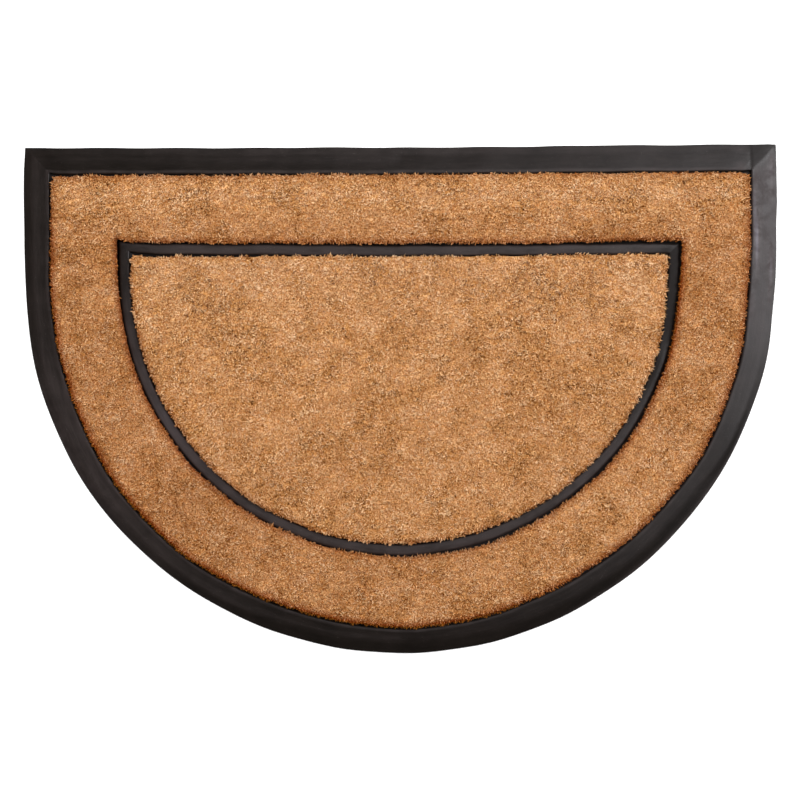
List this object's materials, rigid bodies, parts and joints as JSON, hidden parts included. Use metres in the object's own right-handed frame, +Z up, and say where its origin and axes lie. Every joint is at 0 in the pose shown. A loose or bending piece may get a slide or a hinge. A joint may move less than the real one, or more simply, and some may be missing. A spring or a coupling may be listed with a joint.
{
  "type": "doormat",
  "caption": "Half-round entrance mat with a bevelled black rubber border, a D-shaped rubber rib and low brushy coir pile inside and around it.",
  "frame": {"origin": "on the floor, under the middle of the mat's bounding box", "axes": "+Z up from the floor, +X along the straight edge, +Y from the round side to the straight edge"},
  "size_m": [0.915, 0.6198, 0.0149],
  "materials": {
    "rubber": "matt black moulded rubber, dusty grey where light catches it",
    "coir": "sheared natural coir pile, golden tan with darker gaps"
  },
  "bodies": {
    "root": {"rubber_tray": "rubber", "coir_outer_pile": "coir", "coir_centre_pile": "coir"}
  },
  "joints": []
}
